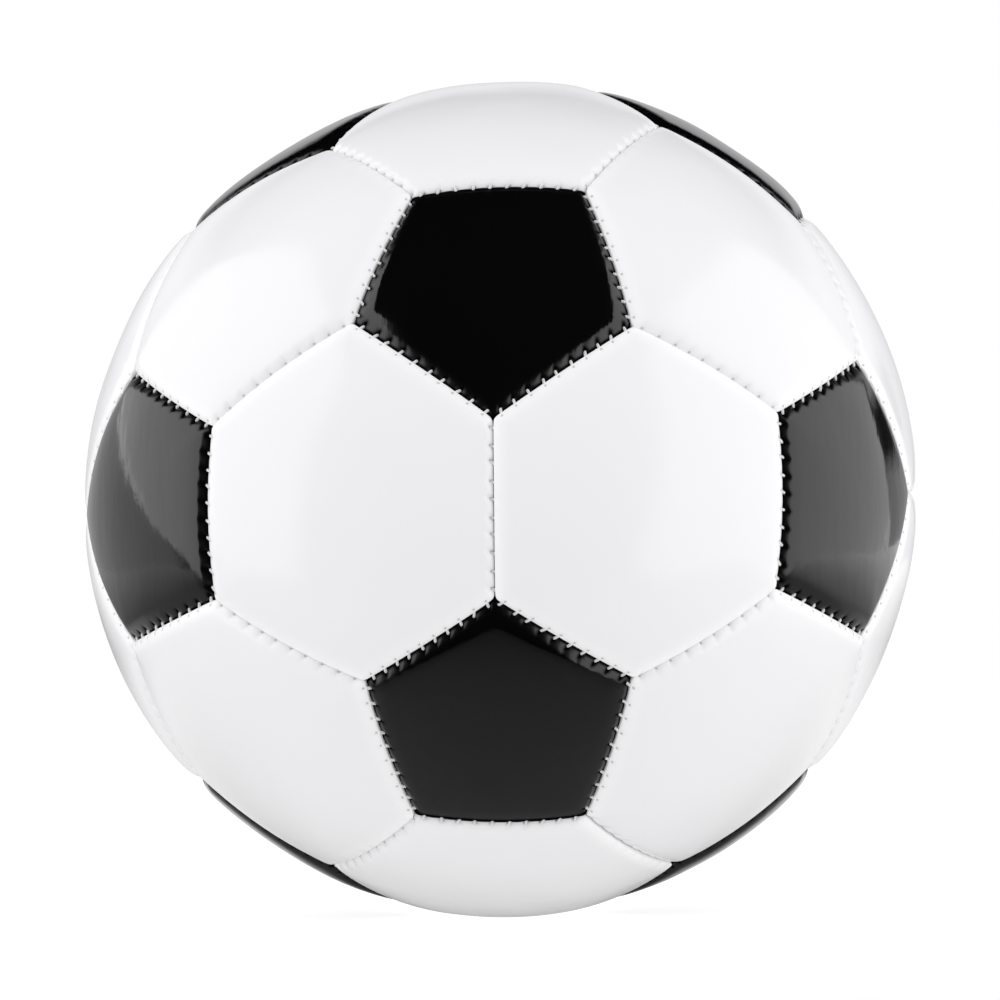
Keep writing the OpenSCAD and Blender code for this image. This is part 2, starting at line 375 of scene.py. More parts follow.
def seam_fields(points, seams, inward):
    """How the seams shape the skin at each point of a panel.

    For a point and a seam, across is its distance from the seam's plane and along its place on the seam.
    Between two stitches the place runs from -1 to 1, and the groove is a power of its size: a round lobe
    with a crease at each stitch, deep in a black edge and shallow in a prouder one. Returns the groove in
    millimetres, the share of the needle's pit, the lean of the edge, the share of a prouder edge, and the
    share of a crease, which runs further in than the groove and is narrower.
    """
    groove, pit, lean, proud, crease = np.zeros((5, *points.shape[:-1]))
    for seam, sign in zip(seams, inward):
        across = np.maximum(ball_r * np.arcsin(sign * (points @ seam_side[seam])), 0)
        along = ball_r * np.arctan2(points @ seam_run[seam], points @ seam_mid[seam])
        along = along - sign * SLANT * (np.minimum(across, SLANT_END) / HOLE_OUT - 1)
        place = stitch_at[seam] + sign * stitch_slant[seam]
        knots = np.concatenate([[2 * place[0] - place[1]], place, [2 * place[-1] - place[-2]]])
        count = np.interp(along, knots, np.arange(len(knots)))
        pull = np.interp(along, place, stitch_pull[seam])
        between = 2 * (count % 1) - 1
        stands = sign != low_side[seam]
        kind = "proud" if stands else "black" if sign == black_side[seam] else "low"
        close = GROOVE[kind] * np.exp(-((across / GROOVE_REACH) ** 2))
        valley = np.abs(between) ** GROOVE_SHARP[kind]
        groove = np.maximum(groove, close * pull * valley)
        narrow = np.abs(between) ** CREASE_SHARP * np.exp(-((across / CREASE_REACH) ** CREASE_FALL))
        crease = np.maximum(crease, narrow)
        nearest = place[np.clip(np.round(count).astype(int) - 1, 0, len(place) - 1)]
        off = (along - nearest) ** 2 + (across - HOLE_OUT) ** 2
        shows = pent_seam[seam] or not stands
        pit = np.maximum(pit, shows * np.exp(-off / PIT_R**2))
        lean += sign * seam_lean[seam] * np.exp(-across / LEAN_REACH)
        proud = np.maximum(proud, stands * np.exp(-((across / PROUD_REACH) ** 2)))
    return groove, pit, lean, proud, crease


def skin_height(points, depth_in, groove, pit, lean, edge):
    """Distance of the skin from the ball's centre, in millimetres.

    The crown's radius, less the pillow's fall toward the seam (an exponential), less the first part of a
    quarter ellipse for the rolled edge, less the stitch's groove and the needle's pit, with the lean of
    the edge and the ball's slow unevenness.
    """
    inside = edge["cut"] * (1 - np.clip(depth_in / edge["wide"], 0, 1))
    roll = edge["deep"] * (1 - np.sqrt(1 - inside**2))
    pillow = PILLOW * np.exp(-depth_in / PILLOW_REACH)
    calm = 1 - np.exp(-((depth_in / CALM_REACH) ** 2))
    uneven = out_of_round(points) + calm * slow_waves(points)
    return ball_r + uneven + lean - pillow - roll - groove - PIT * pit


black_seam_drop = PILLOW + ROLL_BLACK["deep"] * (1 - math.sqrt(1 - ROLL_BLACK["cut"] ** 2))
print(f"a seam beside black lies about {black_seam_drop:.1f} mm deep")

# %% [markdown]
# One panel as a grid
#
# Rays run from the panel's middle to its rim. Where a ray crosses the curves that keep a given distance
# from the rim, the grid has a point. The distance is a smooth minimum of the distances to the panel's
# five or six seams, which rounds the corners by itself. A subdivided polygon would be quicker to make, but
# its lines would not follow the seams, where the detail is. The same grid serves the skin, the foam and
# the lining: each is a section, a list of distances and heights, carried round the rays.

# %% Panel grid
CORNER_SHARP = 3.6
HALVINGS = 36
PAST_RIM = 1.1


def rays_to_rim(name, count):
    """Points on the plane that touches the ball at the panel's middle, where rays meet the rim's chords."""
    axis = panels[name][0]
    share = ((np.arange(count) + 0.5) / count)[:, None]
    start, end = corners[loops[name]], corners[np.roll(loops[name], -1)]
    rim = (start[:, None] * (1 - share) + end[:, None] * share).reshape(-1, 3)
    return rim / (rim @ axis)[:, None] - axis


def rim_distance(points, seams, inward):
    """Smooth least distance to the panel's seams: minus the log of the summed exponentials."""
    across = ball_r * np.arcsin(np.clip(points @ (seam_side[seams] * inward[:, None]).T, -1, 1))
    return -np.log(np.exp(-CORNER_SHARP * across).sum(axis=-1)) / CORNER_SHARP


def along_rays(name, rays, share):
    """Points on the unit ball at given shares of the way along each ray."""
    return unit(panels[name][0] + share[..., None] * rays)


def share_at_depth(name, rays, depths):
    """Share of each ray at which the distance to the rim equals each depth, found by halving."""
    seams, inward = own_seams(name)
    low = np.zeros((len(depths), len(rays)))
    high = np.full_like(low, PAST_RIM)
    for _ in range(HALVINGS):
        mid = (low + high) / 2
        inside = rim_distance(along_rays(name, rays, mid), seams, inward) > np.asarray(depths)[:, None]
        low = np.where(inside, mid, low)
        high = np.where(inside, high, mid)
    return (low + high) / 2


print(f"a ring is placed to within {ball_r * PAST_RIM / 2**HALVINGS:.0e} mm")

# %% [markdown]
# From arrays to a piece
#
# A mesh could be made face by face from lists, which is slow for so many points. Here whole arrays of
# points and faces are handed over at once. The sign of the enclosed volume tells whether the faces look
# outward. Each piece then rides on its body and takes the place of one CAD node, which is hidden.

# %% Mesh helpers


def ring_faces(rings, count, closed):
    """Quads between neighbouring rings, with a fan of triangles to a pole at each end unless closed."""
    ring = np.arange(rings if closed else rings - 1)[:, None] * count
    step = np.arange(count)[None, :]
    right = (step + 1) % count
    below = (ring + count) % (rings * count)
    quads = np.stack([ring + step, below + step, below + right, ring + right], axis=-1).reshape(-1, 4)
    if closed:
        return quads, np.empty((0, 3), int)
    last = (rings - 1) * count
    top = np.stack([np.full(count, rings * count), step[0], right[0]], axis=-1)
    foot = np.stack([np.full(count, rings * count + 1), last + right[0], last + step[0]], axis=-1)
    return quads, np.concatenate([top, foot])


def signed_volume(points, faces):
    """Volume inside closed faces: the sum of the box products of each face's fan of triangles, over six."""
    at = points[faces]
    middle_corners = range(1, faces.shape[1] - 1)
    fan = [np.sum(at[:, 0] * np.cross(at[:, turn], at[:, turn + 1])) for turn in middle_corners]
    return sum(fan) / 6


def new_piece(name, points_mm, quads, triangles, floats=None, uv=None):
    """A mesh object from arrays, smooth and turned outward, with point attributes and a UV map if given."""
    mesh = bpy.data.meshes.new(name)
    if signed_volume(points_mm, quads) + signed_volume(points_mm, triangles) < 0:
        quads, triangles = quads[:, ::-1], triangles[:, ::-1]
    corner_ids = np.concatenate([quads.ravel(), triangles.ravel()]).astype(np.int32)
    sizes = np.concatenate([np.full(len(quads), 4), np.full(len(triangles), 3)]).astype(np.int32)
    mesh.vertices.add(len(points_mm))
    mesh.vertices.foreach_set("co", (points_mm * MM).astype(np.float32).ravel())
    mesh.loops.add(len(corner_ids))
    mesh.loops.foreach_set("vertex_index", corner_ids)
    mesh.polygons.add(len(sizes))
    mesh.polygons.foreach_set("loop_start", (np.cumsum(sizes) - sizes).astype(np.int32))
    mesh.polygons.foreach_set("loop_total", sizes)
    mesh.polygons.foreach_set("use_smooth", np.ones(len(sizes), bool))
    for label, values in (floats or {}).items():
        layer = mesh.attributes.new(label, "FLOAT", "POINT")
        layer.data.foreach_set("value", values.astype(np.float32).ravel())
    if uv is not None:
        layer = mesh.uv_layers.new(name="UVMap")
        layer.data.foreach_set("uv", uv[corner_ids].astype(np.float32).ravel())
    mesh.update(calc_edges=True)
    return in_scene(name, mesh)


def dress(piece, body, node):
    """Fasten a piece to a body, in place of a CAD node, which is hidden."""
    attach(piece, body)
    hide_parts(node)
    return piece


print(len(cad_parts), "nodes to dress")

# %% [markdown]
# The covers
#
# Each cover is one skin: over the crown, down the rolled edge, along the turned-in flange and back up
# inside. Solidify could thicken a sheet, but it can't turn the edge in, so the section is drawn whole. The
# rings lie close together at the rim, where the stitches pull, and wide apart on the crown. The valve's
# panel has a round hole in its middle, so its grid closes on itself round the hole.

# %% Make the covers
SEAM_RAYS = 108
SKIN_T = 0.8
INNER_SLACK = 0.2
HALF_GAP = 0.03
# Rings of the crown by their share of the way out, then rings by their distance from the rim
CROWN_STEPS = np.array([0.1, 0.22, 0.34, 0.46, 0.57, 0.68, 0.78, 0.87, 0.94])
RIM_DEPTHS = np.array([5.4, 4.3, 3.5, 2.9, 2.4, 2.0, 1.65, 1.35, 1.08, 0.84, 0.63, 0.44, 0.28, 0.15, 0.05])
# Rings of the flange and the inside: distance from the rim, and drop below the crown
INNER_DEPTHS = np.array([0.84, 0.84, 1.2, 2.0, 3.4])
INNER_DROPS = np.array([0.0, 2.75, 2.3, 1.9, 1.45])
VALVE_PANEL = "white_panel_01"
VALVE_HOLE_R = 4.15
# Rings of the valve's hole: drop below the skin, and distance out from the hole
HOLE_DROPS = np.array([0.9, 0.45, 0.16, 0.03])
HOLE_OUTS = np.array([0.0, 0.03, 0.2, 0.6])
FAR_IN = 30.0
INNER_LAST = 0.35


def cover(name):
    """Points, faces and point numbers of one panel's skin: crown, rolled rim, flange and inside.

    Each ring lies at a share of every ray. Outside, its height is the skin's; inside, it is the crown's
    radius less a drop, and follows the ball's dents more and more toward the middle.
    """
    axis = panels[name][0]
    seams, inward = own_seams(name)
    rays = rays_to_rim(name, SEAM_RAYS)
    count = len(rays)
    holed = name == VALVE_PANEL
    ray_len = ball_r * np.linalg.norm(rays, axis=1)
    rim_share = share_at_depth(name, rays, RIM_DEPTHS)
    start = (VALVE_HOLE_R + HOLE_OUTS[-1]) / ray_len if holed else np.zeros(count)
    share = np.concatenate([start + CROWN_STEPS[:, None] * (rim_share[0] - start), rim_share])
    if holed:
        share = np.concatenate([(VALVE_HOLE_R + HOLE_OUTS[:, None]) / ray_len, share])
    points = along_rays(name, rays, share)
    depth = np.maximum(rim_distance(points, seams, inward), HALF_GAP)
    groove, pit, lean, proud, crease = seam_fields(points, seams, inward)
    edge = ROLL_BLACK if name.startswith("black") else ROLL_WHITE
    height = skin_height(points, depth, groove, pit, lean, edge)
    if holed:
        height[: len(HOLE_DROPS)] -= HOLE_DROPS[:, None]
    inner_share = share_at_depth(name, rays, INNER_DEPTHS)
    last = (VALVE_HOLE_R / ray_len)[None] if holed else INNER_LAST * inner_share[-1:]
    way = np.concatenate([points, points[-1:], along_rays(name, rays, np.concatenate([inner_share, last]))])
    inner = np.append(ball_r - INNER_DROPS, ball_r - SKIN_T - INNER_SLACK)
    inner[0] = flange_end_r
    follow = np.linspace(0, 1, len(inner))[:, None] * out_of_round(way[-len(inner):])
    high = np.concatenate([height, np.full((1, count), flange_end_r), inner[:, None] + follow])
    grid = (way * high[..., None]).reshape(-1, 3)
    quads, fans = ring_faces(len(high), count, closed=holed)
    behind = np.zeros(count * (len(high) - len(depth)))
    # The skin's material paints shade by needle and seam_mm and paints light by proud
    floats = {"seam_mm": depth, "needle": pit, "proud": proud, "crease": crease}
    floats = {label: np.append(values, behind) for label, values in floats.items()}
    if not holed:
        flat = np.zeros(1)
        crown = skin_height(axis[None], flat + FAR_IN, flat, flat, flat, edge)[0]
        grid = np.concatenate([grid, [axis * crown, axis * (inner[-1] + out_of_round(axis))]])
        poles = {"seam_mm": [FAR_IN, 0], "needle": [0, 0], "proud": [0, 0], "crease": [0, 0]}
        floats = {label: np.append(floats[label], poles[label]) for label in floats}
    return grid, quads, fans, floats


covers = {}
for name in panels:
    piece = new_piece(name + "_skin", *cover(name))
    covers[name] = dress(piece, "ball", name)
print(f"{len(covers)} covers, {sum(len(skin.data.polygons) for skin in covers.values())} faces")

# %% [markdown]
# The thread
#
# Each stitch shows as a short bar of white thread in the seam. Beside black it comes from under the white
# edge and dives into a needle hole between two lobes; between two whites it is nearly hidden. A bevelled
# curve could make one bar, but there are 900, so all are made at once: a tube of eight sides along a low
# arch, with two strands hinted at by a twisted oval.

# %% Make the stitches
THREAD_R = 0.26
BAR_RINGS = 6
BAR_SIDES = 8
BAR_TWIST = 2.2
BAR_OVAL = 0.13
BAR_DIVE = 0.6
BAR_DIVE_LOW = 0.2
BAR_WHITE = {"centre": 0.15, "half": 0.5, "drop": 1.62}
BAR_BLACK = {"centre": 0.2, "half": 0.68, "drop": 1.38}
PROUD_BLACK_DROP = 1.0


def full_turn(count):
    """Angles all the way round, in equal steps."""
    return np.linspace(0, 2 * math.pi, count, endpoint=False)


def stitch_bars(chosen, bar):
    """All bars of the chosen seams: an arch across the seam, swept by a twisted oval.

    Across runs from one needle hole to the other, the height falls with the fourth power of it and further
    on the lower side, and the place along the seam shifts with it by the stitch's slant.
    """
    crossing = np.linspace(-1, 1, BAR_RINGS)[None, None, :]
    toward = low_side[chosen][:, None, None]
    across = toward * bar["centre"] + bar["half"] * crossing + np.zeros((1, STITCHES, 1))
    along = stitch_at[chosen][:, :, None] + stitch_slant[chosen][:, :, None] * across / HOLE_OUT
    mid, run, side = (way[chosen][:, None, None] for way in (seam_mid, seam_run, seam_side))
    turn = (along / ball_r)[..., None]
    out = mid * np.cos(turn) + run * np.sin(turn)
    dive = BAR_DIVE * (1 + BAR_DIVE_LOW * toward * crossing) * crossing**4
    drop = np.full(len(seam_pairs), bar["drop"])
    drop[proud_black] = PROUD_BLACK_DROP
    high = ball_r - drop[chosen][:, None, None] - dive + out_of_round(out)
    centre = out * high[..., None] + side * across[..., None]
    tangent = unit(np.gradient(centre, axis=2))
    up = unit(out - tangent * np.sum(out * tangent, axis=-1, keepdims=True))
    wide = np.cross(tangent, up)
    angle = full_turn(BAR_SIDES)
    oval = THREAD_R * (1 + BAR_OVAL * np.cos(2 * (angle - BAR_TWIST * crossing[..., None])))
    round_it = np.cos(angle)[:, None] * up[..., None, :] + np.sin(angle)[:, None] * wide[..., None, :]
    ring = centre[..., None, :] + oval[..., None] * round_it
    bars = ring.shape[0] * ring.shape[1]
    ends = centre[:, :, [0, -1]].reshape(bars, 2, 3)
    points = np.concatenate([ring.reshape(bars, BAR_RINGS * BAR_SIDES, 3), ends], axis=1)
    quads, fans = ring_faces(BAR_RINGS, BAR_SIDES, closed=False)
    shift = (np.arange(bars) * points.shape[1])[:, None, None]
    quads = (quads[None] + shift).reshape(-1, 4)
    fans = (fans[None] + shift).reshape(-1, 3)
    lengthwise = np.repeat(np.linspace(0, 1, BAR_RINGS), BAR_SIDES)
    roundwise = np.tile(angle / (2 * math.pi), BAR_RINGS)
    uv = np.concatenate([np.column_stack([lengthwise, roundwise]), [[0, 0], [1, 0]]])
    return points.reshape(-1, 3), quads, fans, np.tile(uv, (bars, 1))


threads = []
for node, chosen, bar in (
    ("pentagon_seam_threads", pent_seam, BAR_BLACK),
    ("hexagon_seam_threads", ~pent_seam, BAR_WHITE),
):
    points, quads, fans, uv = stitch_bars(chosen, bar)
    piece = new_piece(node + "_bars", points, quads, fans, uv=uv)
    threads.append(dress(piece, "ball", node))
    print(f"{node}: {chosen.sum()} seams, {len(piece.data.polygons)} faces")

# %% [markdown]
# Foam and lining
#
# Under each skin lies a pad of soft foam, and under the pad a woven lining. They are hidden in a whole
# ball, but they belong to it, and they must stay inside the skin where the seams dip. A shrunken copy of
# the skin would cut through it there. So a layer is a section of its own, carried round the panel's rays:
# out along the top, over the edge, and back along the bottom.

# %% Make the foam and the linings
FOAM_RAYS = 16
# Sections: rings by their distance from the rim and drop below the crown, and the drop of the top
FOAM_SECTION = {
    "depths": np.array([5.0, 3.4, 2.5, 2.2, 2.25, 2.6, 3.4]),
    "drops": np.array([1.45, 1.65, 2.05, 2.35, 2.5, 2.66, 2.68]),
    "top_drop": 1.1, "soft": 1.0,
}
LINING_SECTION = {
    "depths": np.array([2.6, 2.05, 1.95, 2.05, 2.6]),
    "drops": np.array([2.79, 2.83, 3.0, 3.2, 3.26]),
    "top_drop": 2.79, "soft": 0.0,
}
INNER_HOLE_R = 4.25
LAYER_FIRST = 0.3


def layer(name, depths, drops, top_drop, soft):
    """One panel's layer: rings at given distances from the rim and drops below the crown.

    The first ring lies on top near the middle and the last under it, and a pole closes each, but for the
    valve's panel, which has a hole there. A soft layer's top follows the ball's dents; its foot doesn't.
    """
    axis = panels[name][0]
    rays = rays_to_rim(name, FOAM_RAYS)
    ray_len = ball_r * np.linalg.norm(rays, axis=1)
    edge = share_at_depth(name, rays, depths)
    holed = name == VALVE_PANEL
    start = INNER_HOLE_R / ray_len if holed else LAYER_FIRST * edge[0]
    share = np.concatenate([start[None], edge, start[None]])
    drop = np.concatenate([[top_drop], drops, drops[-1:]])
    way = along_rays(name, rays, share)
    east = unit(rays[0])
    north = np.cross(axis, east)
    flat = ball_r * share[..., None] * rays
    uv = np.stack([flat @ east, flat @ north], axis=-1).reshape(-1, 2)
    follow = soft * (drop[-1] - drop) / (drop[-1] - top_drop)
    high = (ball_r - drop)[:, None] + follow[:, None] * out_of_round(way)
    points = (way * high[..., None]).reshape(-1, 3)
    quads, fans = ring_faces(len(drop), len(rays), closed=holed)
    if not holed:
        top = ball_r - top_drop + soft * out_of_round(axis)
        points = np.concatenate([points, [axis * top, axis * (ball_r - drops[-1])]])
        uv = np.concatenate([uv, np.zeros((2, 2))])
    return points, quads, fans, uv


def joined(parts):
    """Several meshes as one: points one after another, each part's faces moved on by those before."""
    before = np.cumsum([0] + [len(part[0]) for part in parts[:-1]])
    points = np.concatenate([part[0] for part in parts])
    quads = np.concatenate([part[1] + start for part, start in zip(parts, before)])
    fans = np.concatenate([part[2] + start for part, start in zip(parts, before)])
    return points, quads, fans, np.concatenate([part[3] for part in parts])


def layer_piece(name, start, shape):
    """One piece from the layers of all panels of a colour."""
    parts = [layer(panel, **shape) for panel in panels if panel.startswith(start)]
    points, quads, fans, uv = joined(parts)
    return new_piece(name, points, quads, fans, uv=uv)


pads, linings = [], []
for kind, start in (("pentagon", "black"), ("hexagon", "white")):
    piece = layer_piece(kind + "_foam", start, FOAM_SECTION)
    pads.append(dress(piece, "ball", kind + "_foam_pads"))
    piece = layer_piece(kind + "_lining", start, LINING_SECTION)
    linings.append(dress(piece, "ball", kind + "_linings"))
print(f"{len(pads)} foam pieces, {len(linings)} lining pieces")

# %% [markdown]
# Bladder and patch
#
# The bladder is a thin rubber ball with one opening, and the patch is a ring of cloth that covers it where
# the valve goes through. Like the valve they are turned shapes: a closed outline spun round the valve's
# axis. The Screw modifier could spin them too, but here the outlines are read from the CAD nodes, so that
# they keep their fits.

# %% Turned shapes
SPIN_SIDES = 96
TINY = 0.05
CORNER_SHARE = 0.4
valve_axis = panels[VALVE_PANEL][0]


def section(name):
    """A node's points as distance from the valve's axis and place along it, in millimetres."""
    points = node_points(name)
    place = points @ valve_axis
    return np.linalg.norm(points - place[:, None] * valve_axis, axis=1), place


def rounded(outline, radius):
    """A closed outline with each corner cut by a small curve: two points on its sides and one between."""
    before, after = np.roll(outline, 1, axis=0) - outline, np.roll(outline, -1, axis=0) - outline
    shorter = np.minimum(np.linalg.norm(before, axis=1), np.linalg.norm(after, axis=1))
    cut = np.minimum(radius, CORNER_SHARE * shorter)[:, None]
    enter, leave = outline + unit(before) * cut, outline + unit(after) * cut
    return np.stack([enter, (enter + 2 * outline + leave) / 4, leave], axis=1).reshape(-1, 2)


def arc(radius, reach_from, reach_to, count):
    """Points on a sphere between two reaches from the valve's axis.

    The place along the axis is the root of the radius squared less the reach squared.
    """
    reach = np.linspace(reach_from, reach_to, count)
    return np.column_stack([reach, np.sqrt(radius**2 - reach**2)])


def shell(inner, outer, hole_r, count):
    """Outline of a round shell with a hole: out over the outer sphere to the far pole and back inside."""
    turn = np.linspace(math.asin(hole_r / outer), math.pi - TINY / outer, count)
    out = outer * np.column_stack([np.sin(turn), np.cos(turn)])
    turn = np.linspace(math.pi - TINY / outer, math.asin(hole_r / inner), count)
    return np.concatenate([out, inner * np.column_stack([np.sin(turn), np.cos(turn)])])


def spin(outline):
    """A closed outline turned round the valve's axis: a ring of points for each of its corners."""
    east = unit(np.cross(valve_axis, corners[loops[VALVE_PANEL][0]]))
    angle = full_turn(SPIN_SIDES)
    spoke = np.cos(angle)[:, None] * east + np.sin(angle)[:, None] * np.cross(valve_axis, east)
    points = outline[:, 0, None, None] * spoke + outline[:, 1, None, None] * valve_axis
    quads, fans = ring_faces(len(outline), SPIN_SIDES, closed=True)
    return points.reshape(-1, 3), quads, fans


print(f"turned shapes have {SPIN_SIDES} sides")

# %% Make the bladder and the patch
BLADDER_RINGS = 90
PATCH_RINGS = 12
bladder_in, bladder_out = node_radii("bladder")
neck_hole_r = section("bladder")[0].min()
bladder = new_piece("bladder_rubber", *spin(shell(bladder_in, bladder_out, neck_hole_r, BLADDER_RINGS)))
dress(bladder, "ball", "bladder")

patch_in, patch_out = node_radii("valve_patch")
patch_reach = section("valve_patch")[0]
near, far = patch_reach.min(), patch_reach.max()
patch_outline = [arc(patch_out, near, far, PATCH_RINGS), arc(patch_in, far, near, PATCH_RINGS)]
patch = new_piece("valve_patch_cloth", *spin(np.concatenate(patch_outline)))
dress(patch, "ball", "valve_patch")
print(f"bladder {2 * bladder_out:.1f} mm across, patch {2 * far:.0f} mm across")

# %% [markdown]
# The valve
#
# The housing is moulded rubber: a neck with a bore, a seat for the plug's head at its mouth, and a disc
# that is bonded into the bladder. The plug is a stopper with a blind way for the pump's needle, and its far
# end is pressed into two flat lips, which the air keeps shut. Corners are rounded as a mould leaves them.
# The lips could be sculpted; here the turned plug is flattened across one direction, more toward its end.

# %% Valve housing
MOULD_ROUND = 0.3
DISC_RINGS = 8
reach, place = section("valve_housing")
mouth_top, housing_end = place.max(), place.min()
at_mouth = reach[place > mouth_top - TINY]
mouth_r, seat_r, bore_r, disc_r = at_mouth.max(), at_mouth.min(), reach.min(), reach.max()
seat = place[(reach > bore_r + TINY) & (reach < seat_r + TINY) & (place > housing_end + TINY)].min()
disc_from = np.hypot(reach, place)[reach > mouth_r + TINY]
disc_top, disc_foot = disc_from.max(), disc_from.min()
neck = [[bore_r, housing_end], [bore_r, seat], [seat_r, seat], [seat_r, mouth_top], [mouth_r, mouth_top]]
housing_outline = np.concatenate([
    rounded(np.array(neck), MOULD_ROUND)[1:],
    arc(disc_top, mouth_r, disc_r - MOULD_ROUND, DISC_RINGS),
    arc((disc_top + disc_foot) / 2, disc_r, disc_r, 1),
    arc(disc_foot, disc_r - MOULD_ROUND, mouth_r, DISC_RINGS),
    [[mouth_r, housing_end + MOULD_ROUND], [mouth_r - MOULD_ROUND, housing_end]],
])
housing = new_piece("valve_housing_rubber", *spin(housing_outline))
dress(housing, "ball", "valve_housing")
print(f"mouth {2 * mouth_r:.1f} mm wide, disc {2 * disc_r:.1f} mm wide")

# %% Valve plug
PLUG_ROUND = 0.25
FOOT_ROUND = 0.2
LIP_RINGS = 9
LIP_LEAD = 1.0
LIP_THIN = 0.34
reach, place = section("valve_plug")
head_top, plug_end = place.max(), place.min()
head_r, way_r = reach.max(), reach[place > head_top - TINY].min()
head_foot = place[reach > head_r - TINY].min()
shank_r = reach[place < head_foot - TINY].max()
inside = (reach < way_r + TINY) & (place < head_top - TINY)
way_end = place[inside & (reach > way_r - TINY)].min()
lip_long = housing_end - plug_end
head = [[way_r, head_top], [head_r, head_top], [head_r, head_foot], [shank_r, head_foot]]
lip_at = np.linspace(housing_end + LIP_LEAD, plug_end + FOOT_ROUND, LIP_RINGS)
plug_outline = np.concatenate([
    [[TINY, way_end], [way_r, way_end]],
    rounded(np.array(head), PLUG_ROUND),
    np.column_stack([np.full(LIP_RINGS, shank_r), lip_at]),
    [[shank_r - FOOT_ROUND, plug_end], [shank_r / 2, plug_end], [TINY, plug_end]],
])
points, quads, fans = spin(plug_outline)
node_at = node_points("valve_plug")
lip_points = node_at[node_at @ valve_axis < plug_end + TINY]
lip_points = lip_points - (lip_points @ valve_axis)[:, None] * valve_axis
thin_way = np.cross(valve_axis, np.linalg.svd(lip_points)[2][0])
closing = np.clip((housing_end - points @ valve_axis) / lip_long, 0, 1)
closing = closing**2 * (3 - 2 * closing) * (1 - LIP_THIN)
points = points - ((points @ thin_way) * closing)[:, None] * thin_way
plug = new_piece("valve_plug_rubber", points, quads, fans)
dress(plug, "plug", "valve_plug")
print(f"plug {head_top - plug_end:.1f} mm long, lips {lip_long:.1f} mm")

# %% [markdown]
# Node trees
#
# A finish is a tree of nodes. It could be drawn in the shader editor; written down, each kind of node is a
# small function, and a finish then reads like a sentence. A range is four numbers: a value that runs from
# the first to the second is carried to one that runs from the third to the fourth.

# %% Material helpers
MIX_COLOURS = (6, 7)
MIX_RESULT = 2


def feed(tree, node, inputs):
    """Fill a node's inputs: one that is given a socket is linked to it, any other is set to its value."""
    for name, value in inputs.items():
        if isinstance(value, bpy.types.NodeSocket):
            tree.links.new(value, node.inputs[name])
        else:
            node.inputs[name].default_value = value


def add(tree, kind, inputs, **settings):
    """The outputs of a new node with its settings made and its inputs fed."""
    node = tree.nodes.new("ShaderNode" + kind)
    for label, value in settings.items():
        setattr(node, label, value)
    feed(tree, node, inputs)
    return node.outputs


def new_material(name):
    """A material with an empty node tree, its shader and its output."""
    material = bpy.data.materials.new(name)
    material.use_nodes = True
    tree = material.node_tree
    tree.nodes.clear()
    shader = tree.nodes.new("ShaderNodeBsdfPrincipled")
    add(tree, "OutputMaterial", {"Surface": shader.outputs["BSDF"]})
    return material, tree, shader


def noise(tree, scale, detail):
    """A noise texture on Object coordinates, its scale in features a metre."""
    at = add(tree, "TexCoord", {})["Object"]
    return add(tree, "TexNoise", {"Vector": at, "Scale": scale, "Detail": detail})["Fac"]


def bands(tree, direction, scale, distortion):
    """Light and dark bands on the piece's own UV map: a sine wave across it, along it or aslant."""
    at = add(tree, "UVMap", {})["UV"]
    inputs = {"Vector": at, "Scale": scale, "Distortion": distortion}
    return add(tree, "TexWave", inputs, bands_direction=direction)["Fac"]


def carried(tree, label):
    """A number that the mesh carries on its points."""
    return add(tree, "Attribute", {}, attribute_name=label)["Fac"]


def spread(tree, value, low, high, out_low, out_high):
    """A value carried from one range to another, held at the ends."""
    ends = {"From Min": low, "From Max": high, "To Min": out_low, "To Max": out_high}
    return add(tree, "MapRange", {"Value": value, **ends})["Result"]


def tint(tree, share, under, over):
    """A colour mix: under where the share is 0, over where it is 1. Either may be a link or a colour."""
    colours = [(*colour, 1) if isinstance(colour, tuple) else colour for colour in (under, over)]
    inputs = {"Factor": share, **dict(zip(MIX_COLOURS, colours))}
    return add(tree, "Mix", inputs, data_type="RGBA")[MIX_RESULT]


def combine(tree, operation, *values):
    """A sum, product, least or greatest one of several values, joined two at a time."""
    result = values[0]
    for value in values[1:]:
        result = add(tree, "Math", {0: result, 1: value}, operation=operation)["Value"]
    return result


def bump(tree, shader, *layers):
    """Bumps one over the other; each layer is a height, its size in metres and its strength."""
    below = {}
    for height, distance, strength in layers:
        inputs = {"Height": height, "Distance": distance, "Strength": strength, **below}
        below = {"Normal": add(tree, "Bump", inputs)["Normal"]}
    feed(tree, shader, below)


def wear(pieces, material):
    """Give a material to every piece of a list."""
    for piece in pieces:
        piece.data.materials.append(material)
    print(material.name, "on", len(pieces))


print("materials so far:", len(bpy.data.materials))

# %% [markdown]
# Glossy skins
#
# The skin is soft coated vinyl: nearly white or nearly black, with a clear gloss, a faint unevenness in
# tone and the finest ripple, which breaks up the edge of a reflection. Round the needle holes and in the
# bottom of each seam the white is painted a little grey and brown, as painted shade, and the black gets a
# faint brown tint there. Along a prouder edge the colour is painted lighter, as painted light where the
# rolled edge catches it, and in the creases of a black edge it has no gloss. A painted image could hold all
# this, but noise on Object coordinates and the numbers that the mesh carries stay sharp at any size.

# %% Skin materials
MIDDLE = (0.3, 0.7)
TONE_NOISE = {"scale": 45, "detail": 4}
ROUGH_NOISE = {"scale": 120, "detail": 3}
RIPPLE_NOISE = {"scale": 300, "detail": 3}
RIPPLE_DEEP = 0.00006
RIPPLE_STRENGTH = 0.4
WRINKLE_STRENGTH = 0.6
WRINKLE_TURN = (0, math.radians(-30), 0)
WRINKLE_SCALE = (700, 250, 90)
WRINKLE_DETAIL = 2.0
SEAM_SHADE = (0.05, 0.4, 0.15, 0.0)
HOLE_BAND = (0.3, 0.9)
EDGE_ROUGH = (1.0, 3.0, 0.26, 0.0)
